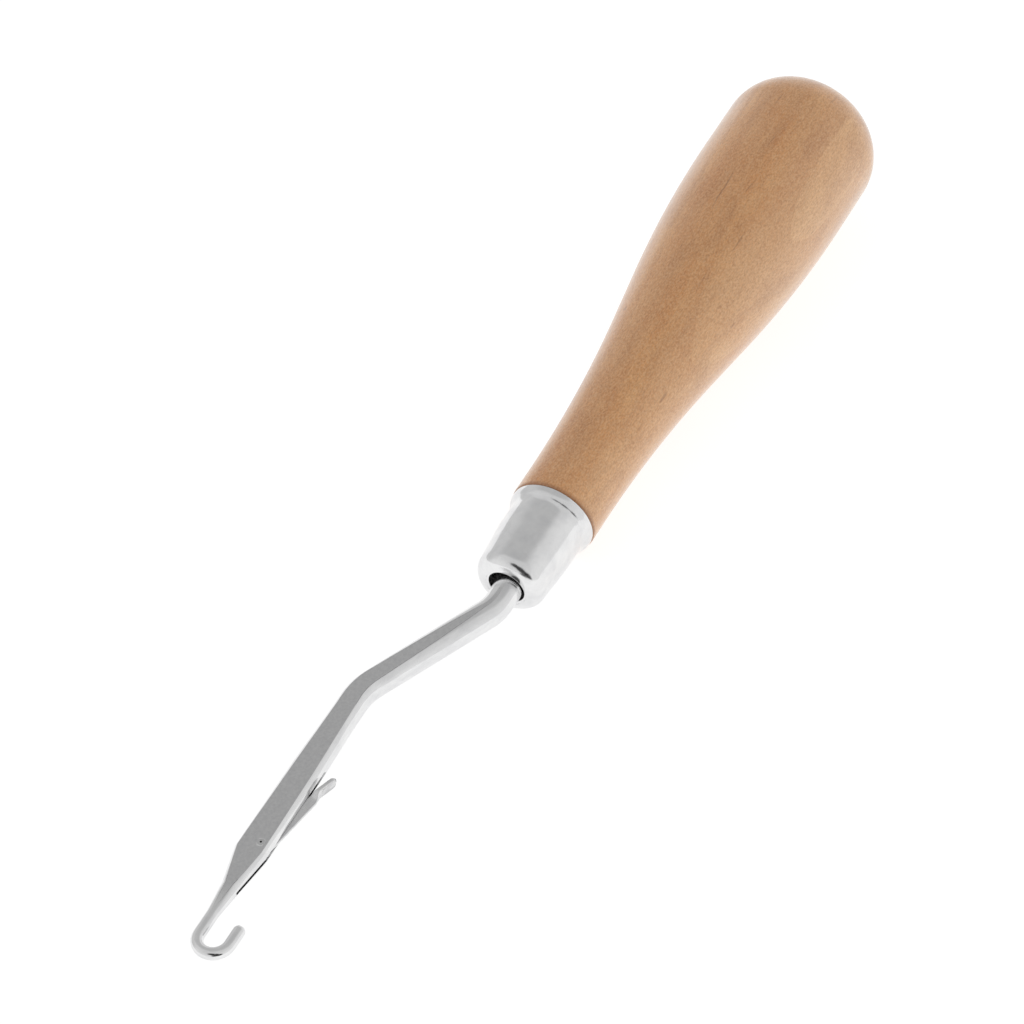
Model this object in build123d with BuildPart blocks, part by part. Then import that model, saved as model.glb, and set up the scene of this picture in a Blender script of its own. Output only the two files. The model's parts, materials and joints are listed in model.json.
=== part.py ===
from build123d import *
import os
from math import acos, atan2, cos, hypot, radians, sin, sqrt, tan

# Bent latch hook: a turned wooden handle, a drawn ferrule, a cranked wire shank with a
# hook, and a hinged latch that closes onto the hook's tip. Millimetres.
# Tool coordinates: x runs along the handle's axis from the butt to the hook, with zero where
# the wood meets the ferrule; y is across the crank, positive on the side where the hook
# opens; z is square to the flattened head. The shank is symmetric about z = 0.

# ---- driving dimensions: handle ----
handle_length = 86.1            # wooden butt to the ferrule's rim
handle_neck_radius = 6.15       # wood where it meets the ferrule
handle_belly_radius = 11.3
hollow_corner = 19.1            # rim to the corner of the straight neck and the flank
crest_corner = 55.9             # rim to the corner of the flank and the belly
hollow_run = 15.0               # how far the hollow's arc reaches either side of its corner
crest_run = 13.0                # how far the belly's arc reaches either side of its corner
crown_height = 6.2              # bulge of the butt's end
crown_edge_round = 8.0
neck_edge_round = 0.3           # wood's edge against the ferrule's rim
spigot_length = 10.2            # wood inside the ferrule
spigot_chamfer = 0.6

# ---- driving dimensions: ferrule ----
ferrule_length = 13.6
ferrule_wall = 0.5
rim_radius = 6.05
rim_band = 0.45                 # straight edge of the rim
flare_length = 1.25             # rim band down to the barrel
barrel_radius = 5.4
barrel_end = 7.0                # rim to the start of the taper
front_radius = 5.0              # taper's radius at the closed end
front_round = 2.0
mouth_radius = 2.6              # hole that the shank passes through
flare_round = 0.9

# ---- driving dimensions: shank ----
wire_radius = 2.0
tang_length = 38.0              # rim to the tang's end in the wood
tang_point = 1.3
tang_hole_spare = 1.5           # drilled deeper than the tang
shoulder_radius = 2.5           # swaged shoulder that stops the wire in the ferrule's mouth
shoulder_width = 1.2
shoulder_setback = 1.6          # shoulder's front inside the ferrule's front
shoulder_round = 0.35
first_bend = 18.3               # rim to where the crank's line crosses the handle's axis
tang_offset = 0.35              # tang lies off the handle's axis, away from the crank
crank_angle = 26.0
crank_offset = 9.05             # handle's axis to the head's centre line
first_bend_radius = 6.0
second_bend_radius = 9.0
press_start = 18.3              # where the pressed flats begin
press_end = 53.0                # where they reach their full depth
head_start = 40.5               # where the round wire starts to spread
head_end = 66.0                 # widest point, where the taper to the neck starts
head_half_width = 2.3
press_half_height = 1.85        # crown of the pressed section before its flats
head_half_height = 2.0
press_half_thickness = 1.35
head_half_thickness = 1.3
neck_start = 71.6
neck_half_width = 1.3
neck_half_height = 1.15
neck_shift = 0.3                # neck lies nearer the opening side than the head
hook_wire_radius = 0.86
hook_half_thickness = 0.84
hook_wire_start = 76.0
hook_radius = 2.18              # centre line of the bend
hook_centre = 79.4              # rim to the centre of the bend
tip_length = 2.25               # straight leg back from the bend

# ---- driving dimensions: latch ----
pivot_back = 1.5                # latch pin behind the head's widest point
pivot_rise = 0.85               # latch pin above the head's centre line
pin_radius = 0.5
pin_proud = 0.03
pin_dimple_radius = 0.2
pin_clearance = 0.04            # pin to the latch's eye, all round
latch_thickness = 0.4
slot_clearance = 0.08           # latch to each cheek of the slot
latch_eye_radius = 1.25
latch_open_angle = 166.4        # from the x axis to the spoon's end, latch lying back
blade_end = 10.5                # pivot to the blade's square end
blade_outer = 0.55              # blade's outer edge there, from the line to the spoon's end
blade_inner = 0.75
spoon_overlap = 1.45            # how far the spoon reaches past the hook's tip
spoon_half_width = 0.8
spoon_thickness = 0.72
spoon_kick = 6.5                # turn of the spoon away from the blade
spoon_drop = -0.3               # spoon's middle at the blade's end
spoon_root = 0.9                # overlap of the spoon on the blade
cup_clearance = 0.1             # spoon's cup to the hook's tip
cup_depth = 0.3
saw_radius = 25.0               # slitting saw that cuts the slot
slot_floor = 0.65               # slot's deepest point below the head's centre line
slot_centre = 62.0              # rim to the saw's centre

# ---- values that follow ----
crown_radius = (handle_belly_radius**2 + crown_height**2) / (2 * crown_height)
crown_centre = handle_length - crown_radius
crown_edge = handle_length - crown_height
flank_angle = atan2(handle_belly_radius - handle_neck_radius, crest_corner - hollow_corner)
hollow_radius = hollow_run / tan(flank_angle / 2)
crest_radius = crest_run / tan(flank_angle / 2)
crest_arc_centre = -(crest_corner + crest_run)

taper_slope = (barrel_radius - front_radius) / (ferrule_length - barrel_end)
barrel_bore = barrel_radius - ferrule_wall
bore_front_radius = barrel_bore - taper_slope * (ferrule_length - ferrule_wall - barrel_end)
spigot_end_radius = barrel_bore - taper_slope * (spigot_length - barrel_end)

first_corner = first_bend - tang_offset / tan(radians(crank_angle))
second_bend = first_bend + crank_offset / tan(radians(crank_angle))
head_y = -crank_offset
neck_y = head_y + neck_shift
tip_y = neck_y + 2 * hook_radius
tip_x = hook_centre - tip_length - hook_wire_radius
hook_bottom = hook_centre + hook_radius

pivot_x = head_end - pivot_back
pivot_y = head_y + pivot_rise
slot_half_width = latch_thickness / 2 + slot_clearance
saw_y = head_y - slot_floor + saw_radius
press_slope = (wire_radius - press_half_thickness) / (press_end - press_start)
press_lead = press_start + 2 * tang_length
head_slope = (press_half_thickness - head_half_thickness) / (head_end - press_end)
pin_half_length = head_half_thickness + head_slope * (head_end - pivot_x) + pin_proud
latch_length = hypot(tip_x - pivot_x, tip_y - pivot_y) + spoon_overlap
spoon_length = latch_length - blade_end
spoon_cup_radius = hook_wire_radius + cup_clearance

# The tool lies on a level surface on its belly and on its hook, so its axis dips towards the
# hook. dip solves "belly arc and hook touch the same level": reach sin + rise cos = radius.
hook_reach = hook_bottom + sqrt(hook_wire_radius**2 - hook_half_thickness**2)
reach = hook_reach - crest_arc_centre
rise = crest_radius - handle_belly_radius + hook_half_thickness
dip = atan2(reach, rise) - acos(crest_radius / hypot(reach, rise))
axis_height = hook_reach * sin(dip) + hook_half_thickness * cos(dip)
butt_reach = crown_centre * cos(dip) + crown_radius
front_reach = hook_bottom * cos(dip) + hook_wire_radius
rim_x = (butt_reach - front_reach) / 2

lying = Plane(origin=(rim_x, 0, axis_height), x_dir=(cos(dip), 0, -sin(dip)), z_dir=(sin(dip), 0, cos(dip)))


def cross_plane(x, y=0.0):
    """Plane square to the handle's axis at tool point (x, y); its own x axis is the tool's y."""
    return Plane(origin=(x, y, 0), x_dir=(0, 1, 0), z_dir=(1, 0, 0))


def direction(angle):
    """Unit vector in the bend plane at an angle in degrees from the tool's x axis."""
    return Vector(cos(radians(angle)), sin(radians(angle)), 0)


# The latch's own planes, with the latch lying back: x along the latch, y towards the side
# that faces out when it lies back.
latch_plane = Plane(origin=(pivot_x, pivot_y, 0), x_dir=direction(latch_open_angle), z_dir=(0, 0, -1))
spoon_angle = latch_open_angle - spoon_kick
spoon_plane = Plane(
    origin=latch_plane.from_local_coords((blade_end, spoon_drop, 0)),
    x_dir=direction(spoon_angle),
    z_dir=direction(spoon_angle - 90),
)
cup_axis_height = spoon_thickness / 2 + spoon_cup_radius - cup_depth
cup_plane = Plane(
    origin=spoon_plane.from_local_coords((0, 0, cup_axis_height)), x_dir=(0, 0, 1), z_dir=spoon_plane.x_dir
)

# ---- handle: a turned profile with a spigot at the front ----
with BuildPart() as handle:
    with BuildSketch(Plane.XY):
        with BuildLine():
            FilletPolyline(
                (0, handle_neck_radius),
                (-hollow_corner, handle_neck_radius),
                (-crest_corner, handle_belly_radius),
                (-crown_edge, handle_belly_radius),
                radius=[hollow_radius, crest_radius],
            )
            RadiusArc((-crown_edge, handle_belly_radius), (-handle_length, 0), -crown_radius)
            Polyline(
                (-handle_length, 0),
                (spigot_length, 0),
                (spigot_length, spigot_end_radius),
                (barrel_end, barrel_bore),
                (0, barrel_bore),
                (0, handle_neck_radius),
            )
        make_face()
        fillet(vertices().sort_by_distance((-crown_edge, handle_belly_radius))[0], radius=crown_edge_round)
        chamfer(vertices().sort_by_distance((spigot_length, spigot_end_radius))[0], length=spigot_chamfer)
        fillet(vertices().sort_by_distance((0, handle_neck_radius))[0], radius=neck_edge_round)
    revolve(axis=Axis.X)
    with BuildSketch(cross_plane(spigot_length, tang_offset)):
        Circle(wire_radius)
    extrude(amount=-(spigot_length + tang_length + tang_hole_spare), mode=Mode.SUBTRACT)

# ---- ferrule: a drawn cup with a flared rim and a rolled mouth ----
with BuildPart() as ferrule:
    with BuildSketch(Plane.XY):
        with BuildLine():
            Polyline(
                (0, 0),
                (0, rim_radius),
                (rim_band, rim_radius),
                (rim_band + flare_length, barrel_radius),
                (barrel_end, barrel_radius),
                (ferrule_length, front_radius),
                (ferrule_length, 0),
                close=True,
            )
        make_face()
        fillet(vertices().sort_by_distance((ferrule_length, front_radius))[0], radius=front_round)
        flare_foot = (rim_band + flare_length, barrel_radius)
        fillet(vertices().sort_by_distance(flare_foot)[0], radius=flare_round)
    revolve(axis=Axis.X)
    with BuildSketch(Plane.XY):
        with BuildLine():
            Polyline(
                (0, 0),
                (0, rim_radius - ferrule_wall),
                (rim_band, rim_radius - ferrule_wall),
                (rim_band + flare_length, barrel_bore),
                (barrel_end, barrel_bore),
                (ferrule_length - ferrule_wall, bore_front_radius),
                (ferrule_length - ferrule_wall, 0),
                close=True,
            )
        make_face()
        inner_corner = (ferrule_length - ferrule_wall, bore_front_radius)
        fillet(vertices().sort_by_distance(inner_corner)[0], radius=front_round - ferrule_wall)
    revolve(axis=Axis.X, mode=Mode.SUBTRACT)
    with BuildSketch(cross_plane(ferrule_length)):
        Circle(mouth_radius)
    extrude(amount=-2 * ferrule_wall, mode=Mode.SUBTRACT)
    round_edges = ferrule.edges().filter_by(GeomType.CIRCLE)
    rolled_edges = round_edges.filter_by(lambda edge: edge.radius == mouth_radius)
    fillet(rolled_edges, radius=0.45 * ferrule_wall)

# Sections of the head as x, y, half width and half height: the wire spreads from round to its
# widest point, tapers to the neck, and runs down to the hook's round wire.
round_section = (head_start, head_y, wire_radius, wire_radius)
pressed_section = (press_end, head_y, head_half_width, press_half_height)
head_section = (head_end, head_y, head_half_width, head_half_height)
neck_section = (neck_start, neck_y, neck_half_width, neck_half_height)
hook_section = (hook_wire_start, neck_y, hook_wire_radius, hook_wire_radius)
spread_stretch = (round_section, pressed_section, head_section)
head_taper = (head_section, neck_section)
neck_taper = (neck_section, hook_section)

# ---- hook shank: one wire, with its tang, crank, pressed head, latch slot and hook ----
with BuildPart() as hook_shank:
    with BuildLine(Plane.XY) as wire_path:
        FilletPolyline(
            (-tang_length, tang_offset),
            (first_corner, tang_offset),
            (second_bend, head_y),
            (head_start, head_y),
            radius=[first_bend_radius, second_bend_radius],
        )
    with BuildSketch(cross_plane(-tang_length, tang_offset)):
        Circle(wire_radius)
    sweep(path=wire_path.line)
    chamfer(hook_shank.edges().sort_by(Axis.X)[0], length=tang_point)

    for stretch in (spread_stretch, head_taper, neck_taper):
        for x, y, half_width, half_height in stretch:
            with BuildSketch(cross_plane(x, y)):
                Ellipse(half_width, half_height)
        loft()

    # The slot is sawn from the side where the hook opens, before the hook is bent.
    with BuildSketch(Plane.XY.offset(-slot_half_width)):
        with Locations((slot_centre, saw_y)):
            Circle(saw_radius)
    extrude(amount=2 * slot_half_width, mode=Mode.SUBTRACT)
    with BuildSketch(Plane.XY):
        with Locations((pivot_x, pivot_y)):
            Circle(pin_radius)
    extrude(amount=wire_radius, both=True, mode=Mode.SUBTRACT)

    with BuildSketch(cross_plane(hook_wire_start, neck_y)):
        Circle(hook_wire_radius)
    with BuildLine(Plane.XY) as hook_path:
        Line((hook_wire_start, neck_y), (hook_centre, neck_y))
        CenterArc((hook_centre, neck_y + hook_radius), hook_radius, -90, 180)
        Line((hook_centre, tip_y), (hook_centre - tip_length, tip_y))
    sweep(path=hook_path.line)
    with Locations((hook_centre - tip_length, tip_y, 0)):
        Sphere(hook_wire_radius)

    # Pressed flats on both faces, deeper towards the head.
    with BuildSketch(Plane.XZ):
        with BuildLine():
            face_line = Polyline(
                (press_start - press_lead, 0),
                (press_start - press_lead, wire_radius + press_slope * press_lead),
                (press_end, press_half_thickness),
                (head_end, head_half_thickness),
                (hook_wire_start, hook_half_thickness),
                (hook_reach + hook_wire_radius, hook_half_thickness),
                (hook_reach + hook_wire_radius, 0),
            )
            mirror(face_line, about=Plane.XZ)
        make_face()
    extrude(amount=crank_offset + 2 * wire_radius, both=True, mode=Mode.INTERSECT)

    # Swaged shoulder that stops the wire behind the ferrule's mouth.
    with BuildSketch(Plane.XY):
        with Locations((ferrule_length - shoulder_setback, tang_offset)):
            Rectangle(shoulder_width, shoulder_radius, align=(Align.MAX, Align.MIN))
        shoulder_corner = (ferrule_length - shoulder_setback, tang_offset + shoulder_radius)
        fillet(vertices().sort_by_distance(shoulder_corner)[0], radius=shoulder_round)
    revolve(axis=Axis((0, tang_offset, 0), (1, 0, 0)))

# ---- latch: a blade that swings in the slot, with a cupped spoon at its end ----
with BuildPart() as latch:
    with BuildSketch(latch_plane.offset(-latch_thickness / 2)):
        Circle(latch_eye_radius)
        with BuildLine():
            Polyline(
                (0, latch_eye_radius),
                (blade_end, blade_outer),
                (blade_end, -blade_inner),
                (0, -latch_eye_radius),
                close=True,
            )
        make_face()
    extrude(amount=latch_thickness)
    with BuildSketch(spoon_plane.offset(-spoon_thickness / 2)):
        with BuildLine():
            spoon_side = Polyline(
                (-spoon_root, 0),
                (-spoon_root, latch_thickness / 2),
                (0, spoon_half_width),
                (spoon_length - spoon_half_width, spoon_half_width),
            )
            spoon_round = RadiusArc(
                (spoon_length - spoon_half_width, spoon_half_width), (spoon_length, 0), spoon_half_width
            )
            mirror(spoon_side, about=Plane.XZ)
            mirror(spoon_round, about=Plane.XZ)
        make_face()
    extrude(amount=spoon_thickness)
    with BuildSketch(cup_plane):
        Circle(spoon_cup_radius)
    extrude(amount=spoon_length, mode=Mode.SUBTRACT)
    with BuildSketch(latch_plane):
        Circle(pin_radius + pin_clearance)
    extrude(amount=latch_thickness, both=True, mode=Mode.SUBTRACT)

# ---- latch pin: riveted flush across the slot, centre-punched at both ends ----
with BuildPart() as latch_pin:
    with BuildSketch(Plane.XY):
        with Locations((pivot_x, pivot_y)):
            Circle(pin_radius)
    extrude(amount=pin_half_length, both=True)
    for side in (1, -1):
        with Locations((pivot_x, pivot_y, side * pin_half_length)):
            Sphere(pin_dimple_radius, mode=Mode.SUBTRACT)

# Each piece is laid down with the whole tool before it is written.
os.makedirs("parts", exist_ok=True)
for name, piece in (
    ("handle", handle),
    ("ferrule", ferrule),
    ("hook_shank", hook_shank),
    ("latch", latch),
    ("latch_pin", latch_pin),
):
    laid_piece = piece.part.moved(lying.location)
    laid_piece.label = name
    export_step(laid_piece, f"parts/{name}.step")
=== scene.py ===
"""Bent latch hook: a turned beech handle, a drawn nickel ferrule, a cranked wire shank and its latch.

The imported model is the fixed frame. Each sub-assembly is a class that holds its sizes in
millimetres, builds its mesh in tool coordinates and lays it into the frame. Tool coordinates: x runs
along the handle's axis towards the hook, with zero where the wood meets the ferrule; y is across the
crank, positive where the hook opens; z is square to the flattened head.
"""

import json
import logging
import math
from abc import ABC, abstractmethod
from dataclasses import dataclass
from enum import Enum
from typing import Any, Dict, List, Optional, Sequence, Tuple, Union

import bmesh
import bpy
from mathutils import Matrix, Vector


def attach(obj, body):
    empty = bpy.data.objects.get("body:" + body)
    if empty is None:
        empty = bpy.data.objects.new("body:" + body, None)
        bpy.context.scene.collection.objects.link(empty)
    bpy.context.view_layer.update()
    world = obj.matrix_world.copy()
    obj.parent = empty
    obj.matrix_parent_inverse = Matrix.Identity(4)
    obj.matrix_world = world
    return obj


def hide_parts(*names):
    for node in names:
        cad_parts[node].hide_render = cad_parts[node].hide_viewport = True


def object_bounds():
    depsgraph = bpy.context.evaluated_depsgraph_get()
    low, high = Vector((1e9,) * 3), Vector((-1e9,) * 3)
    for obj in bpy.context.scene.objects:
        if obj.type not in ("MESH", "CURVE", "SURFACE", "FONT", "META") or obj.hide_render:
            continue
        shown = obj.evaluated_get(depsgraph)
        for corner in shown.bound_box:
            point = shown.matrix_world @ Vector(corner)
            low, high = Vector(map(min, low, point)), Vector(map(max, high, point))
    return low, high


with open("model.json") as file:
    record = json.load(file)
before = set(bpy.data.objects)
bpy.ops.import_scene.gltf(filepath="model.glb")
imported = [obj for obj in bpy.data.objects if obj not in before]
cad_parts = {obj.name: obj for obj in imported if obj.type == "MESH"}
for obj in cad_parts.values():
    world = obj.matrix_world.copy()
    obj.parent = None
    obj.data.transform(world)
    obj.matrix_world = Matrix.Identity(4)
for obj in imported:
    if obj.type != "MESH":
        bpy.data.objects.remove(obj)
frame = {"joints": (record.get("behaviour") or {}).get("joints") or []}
cad_low, cad_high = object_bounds()

MM = 0.001
# A wave texture of scale 1 repeats every pi / 10 units.
WAVE_PER_MM = math.pi / 10
SHARP_ANGLE = math.radians(24)
Colour = Tuple[float, float, float, float]
Point = Tuple[float, float]

logger = logging.getLogger("latch_hook")


class Body(Enum):
    """The bodies that pieces ride on."""

    TOOL = "tool"
    LATCH = "latch"


class PinFace(Enum):
    """Material slots of the pin: as headed, and the punch mark in each end, painted dark as shade."""

    PEENED = 0
    PUNCHED = 1


class Zone(Enum):
    """Material slots of a piece of wire: as drawn, where the press flattened it, and its die lines."""

    DRAWN = 0
    PRESSED = 1
    DIE_LINE = 2


def linear(hex_colour: str) -> Colour:
    """Turns an sRGB hex colour into linear RGBA.

    Args:
        hex_colour: colour such as "#C8A078".

    Returns:
        Red, green, blue and alpha, linear.
    """
    channels = [int(hex_colour[i : i + 2], 16) / 255 for i in (1, 3, 5)]
    red, green, blue = (c / 12.92 if c <= 0.04045 else ((c + 0.055) / 1.055) ** 2.4 for c in channels)
    return (red, green, blue, 1.0)


def node(
    tree: bpy.types.NodeTree,
    kind: str,
    settings: Optional[Dict[Union[str, int], Any]] = None,
    links: Optional[Dict[Union[str, int], bpy.types.NodeSocket]] = None,
) -> bpy.types.Node:
    """Adds a node with its settings and links.

    Args:
        tree: node tree that gets the node.
        kind: type of the node, without its "ShaderNode" prefix.
        settings: properties in lower case, and unlinked inputs by name or number.
        links: output socket for each linked input, by name or number.

    Returns:
        The new node.
    """
    made = tree.nodes.new("ShaderNode" + kind)
    for name, value in (settings or {}).items():
        if isinstance(name, str) and name.islower():
            setattr(made, name, value)
        else:
            made.inputs[name].default_value = value
    for name, socket in (links or {}).items():
        tree.links.new(socket, made.inputs[name])
    return made


def new_material(name: str) -> Tuple[bpy.types.Material, bpy.types.NodeTree]:
    """Makes an empty node material.

    Args:
        name: the material's name.

    Returns:
        The material and its cleared node tree.
    """
    material = bpy.data.materials.new(name)
    material.use_nodes = True
    material.node_tree.nodes.clear()
    return material, material.node_tree


@dataclass(frozen=True)
class LyingTool:
    """The tool's own coordinates, laid down on the floor as the latch's hinge has them."""

    pivot: Point = (64.5, -8.2)

    def matrix(self) -> Matrix:
        """Works out the transform from tool millimetres to frame metres.

        Returns:
            The 4x4 transform.
        """
        hinge = frame["joints"][0]
        up = -Vector(hinge["axis"]).normalized()
        ahead = Vector((up.z, 0, -up.x))
        turn = Matrix((ahead, (0, 1, 0), up)).transposed()
        origin = Vector(hinge["pos_m"]) - turn @ Vector((*self.pivot, 0)) * MM
        return Matrix.Translation(origin) @ turn.to_4x4() @ Matrix.Scale(MM, 4)


PLACE = LyingTool().matrix()


# ---------------------------------------------------------------- finishes


class Finish(ABC):
    """How one surface looks."""

    @abstractmethod
    def material(self) -> bpy.types.Material:
        """Builds the material."""

    def tool_millimetres(self, tree: bpy.types.NodeTree) -> bpy.types.NodeSocket:
        """Adds tool coordinates in millimetres, turned from the piece's object coordinates.

        Args:
            tree: the material's node tree.

        Returns:
            The coordinate socket.
        """
        inverse = PLACE.inverted()
        place = node(tree, "TexCoord")
        where, turn, size = inverse.to_translation(), inverse.to_euler(), (1 / MM,) * 3
        turned = node(
            tree,
            "Mapping",
            {"Location": where, "Rotation": turn, "Scale": size},
            {"Vector": place.outputs["Object"]},
        )
        return turned.outputs["Vector"]

    def pattern(
        self,
        tree: bpy.types.NodeTree,
        place: bpy.types.NodeSocket,
        grain: Tuple[float, float, float],
        window: Point,
        detail: float = 4.0,
        rough: float = 0.55,
        swirl: float = 0.0,
    ) -> bpy.types.NodeSocket:
        """Adds noise of a real size, spread over a window of its values.

        Args:
            tree: the material's node tree.
            place: coordinates in millimetres.
            grain: size of a grain along each axis, in millimetres.
            window: noise values that become 0 and 1.
            detail: octaves of the noise.
            rough: share that each finer octave keeps.
            swirl: distortion of the noise.

        Returns:
            A value from 0 to 1.
        """
        scaled = node(tree, "Mapping", {"Scale": [1 / size for size in grain]}, {"Vector": place})
        noise = node(
            tree,
            "TexNoise",
            {"Scale": 1.0, "Detail": detail, "Roughness": rough, "Distortion": swirl},
            {"Vector": scaled.outputs[0]},
        )
        low, high = window
        spread = node(tree, "MapRange", {"From Min": low, "From Max": high}, {"Value": noise.outputs[0]})
        return spread.outputs[0]

    def step(
        self, tree: bpy.types.NodeTree, place: bpy.types.NodeSocket, axis: str, start: float, end: float
    ) -> bpy.types.NodeSocket:
        """Adds a smooth step along one axis.

        Args:
            tree: the material's node tree.
            place: coordinates in millimetres.
            axis: "X", "Y" or "Z".
            start: where the step leaves 0.
            end: where it reaches 1.

        Returns:
            A value from 0 to 1.
        """
        parts = node(tree, "SeparateXYZ", {}, {0: place})
        climb = node(
            tree,
            "MapRange",
            {"interpolation_type": "SMOOTHSTEP", "From Min": start, "From Max": end},
            {"Value": parts.outputs[axis]},
        )
        return climb.outputs[0]

    def two_tone(
        self, tree: bpy.types.NodeTree, low: str, high: str, share: bpy.types.NodeSocket
    ) -> bpy.types.NodeSocket:
        """Mixes two colours.

        Args:
            tree: the material's node tree.
            low: sRGB hex colour where the share is 0.
            high: sRGB hex colour where it is 1.
            share: a value from 0 to 1.

        Returns:
            The mixed colour.
        """
        mixed = node(tree, "Mix", {"data_type": "RGBA", 6: linear(low), 7: linear(high)}, {0: share})
        return mixed.outputs[2]

    def lay_over(
        self,
        tree: bpy.types.NodeTree,
        base: bpy.types.NodeSocket,
        colour: str,
        share: bpy.types.NodeSocket,
        strength: float,
    ) -> bpy.types.NodeSocket:
        """Lays a colour over another.

        Args:
            tree: the material's node tree.
            base: colour below.
            colour: sRGB hex colour on top.
            share: where the top colour shows, from 0 to 1.
            strength: how much of it shows there.

        Returns:
            The mixed colour.
        """
        part = node(tree, "Math", {"operation": "MULTIPLY", 1: strength}, {0: share})
        laid = node(tree, "Mix", {"data_type": "RGBA", 7: linear(colour)}, {0: part.outputs[0], 6: base})
        return laid.outputs[2]


@dataclass(frozen=True)
class LacqueredBeech(Finish):
    """Beech, turned, sanded and sealed with a thin satin lacquer.

    The eye gets a warm tan with long soft streaks of growth rings, a fine speckle of pores and
    fibres with painted glints among them, one dark mineral streak, faint lathe rings, a pale sheen
    towards the sides and a painted highlight laid along the +y side.
    """

    heartwood: str = "#DB9552"
    sapwood: str = "#F1B472"
    late_wood: str = "#C47C3C"
    fleck: str = "#985824"
    stain: str = "#824719"
    # Pale tone for the wear clouds, and also the colour of the painted highlight and painted glints.
    wear_and_highlight: str = "#FAD2A2"
    # Near black: painted shade for the spigot inside the ferrule.
    painted_shade_black: str = "#17100B"
    ring_spacing: float = 3.2
    pith: Tuple[float, float, float] = (0.0, -34.0, -21.0)
    streak_size: Tuple[float, float, float] = (45.0, 3.0, 3.0)
    fibre_size: Tuple[float, float, float] = (9.0, 0.32, 0.32)
    fleck_size: Tuple[float, float, float] = (2.2, 0.28, 0.28)
    pore_size: Tuple[float, float, float] = (0.48, 0.20, 0.20)
    painted_glint_size: Tuple[float, float, float] = (0.34, 0.22, 0.22)
    mineral_place: Tuple[float, float, float] = (-55.8, -1.05, 11.0)
    mineral_size: Tuple[float, float, float] = (5.6, 0.20, 1.5)
    mineral_waver: float = 0.5
    lathe_spacing: float = 0.7
    relief: float = 0.05

    def growth_rings(self, tree: bpy.types.NodeTree, place: bpy.types.NodeSocket) -> bpy.types.NodeSocket:
        """Adds growth rings: cylinders about a pith outside the blank, which show as long flames.

        Args:
            tree: the material's node tree.
            place: coordinates in millimetres.

        Returns:
            A value from 0 to 1.
        """
        centred = node(tree, "VectorMath", {"operation": "SUBTRACT", 1: self.pith}, {0: place})
        flat = node(tree, "Mapping", {"Scale": (0.035, 1, 1)}, {"Vector": centred.outputs[0]})
        rings = node(
            tree,
            "TexWave",
            {
                "wave_type": "RINGS",
                "rings_direction": "X",
                "wave_profile": "SAW",
                "Scale": WAVE_PER_MM / self.ring_spacing,
                "Distortion": 2.2,
                "Detail": 2.0,
                "Detail Scale": 0.35,
                "Detail Roughness": 0.5,
            },
            {"Vector": flat.outputs[0]},
        )
        return rings.outputs[1]

    def mineral_streak(
        self, tree: bpy.types.NodeTree, place: bpy.types.NodeSocket
    ) -> bpy.types.NodeSocket:
        """Adds one dark streak along the grain, thin and pointed at both ends.

        Args:
            tree: the material's node tree.
            place: coordinates in millimetres.

        Returns:
            A value from 0 to 1.
        """
        noise = {"Scale": 0.5, "Detail": 3.0, "Roughness": 0.6}
        ragged = node(tree, "TexNoise", noise, {"Vector": place})
        waver = self.mineral_waver
        shift = node(
            tree,
            "VectorMath",
            {"operation": "MULTIPLY_ADD", 1: (0, waver, 0), 2: (0, -waver / 2, 0)},
            {0: ragged.outputs["Color"]},
        )
        moved = node(tree, "VectorMath", {"operation": "ADD"}, {0: place, 1: shift.outputs[0]})
        centred = node(
            tree, "VectorMath", {"operation": "SUBTRACT", 1: self.mineral_place}, {0: moved.outputs[0]}
        )
        scaled = node(
            tree, "VectorMath", {"operation": "DIVIDE", 1: self.mineral_size}, {0: centred.outputs[0]}
        )
        far = node(tree, "VectorMath", {"operation": "LENGTH"}, {0: scaled.outputs[0]})
        near = node(
            tree,
            "MapRange",
            {"interpolation_type": "SMOOTHSTEP", "From Min": 1.0, "From Max": 0.15},
            {"Value": far.outputs["Value"]},
        )
        return near.outputs[0]

    def material(self) -> bpy.types.Material:
        """Builds the beech.

        Returns:
            The material.
        """
        material, tree = new_material("beech_turned_and_lacquered")
        place = self.tool_millimetres(tree)
        rings = self.growth_rings(tree, place)
        streaks = self.pattern(tree, place, self.streak_size, (0.34, 0.68), 5.0, 0.6, 0.4)
        fibres = self.pattern(tree, place, self.fibre_size, (0.32, 0.68), 5.0, 0.7)
        flecks = self.pattern(tree, place, self.fleck_size, (0.56, 0.76), 2.0, 0.5)
        # Pores, and the painted glints that stand in for the lacquer's sparkle, are 0.1 mm in real beech,
        # drawn at the size that still shows.
        pores = self.pattern(tree, place, self.pore_size, (0.38, 0.64), 2.0, 0.6)
        painted_glints = self.pattern(tree, place, self.painted_glint_size, (0.40, 0.66), 2.0, 0.6)
        cloud = self.pattern(tree, place, (16.0, 7.0, 7.0), (0.35, 0.7), 3.0, 0.5, 0.3)
        blush = self.pattern(tree, place, (12.0, 4.0, 4.0), (0.50, 0.74), 3.0, 0.6, 0.5)
        # A few smaller mineral streaks, each some millimetres long.
        stains = self.pattern(tree, place, (9.0, 0.9, 0.9), (0.735, 0.79), 1.0, 0.4, 0.5)
        # Polish and dust darken the last half millimetre of wood against the ferrule. The spigot inside
        # it is laid near black, painted shade for the inside of the ferrule seen through its mouth.
        crease = self.step(tree, place, "X", -0.75, -0.05)
        spigot = self.step(tree, place, "X", 0.1, 0.4)
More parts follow.
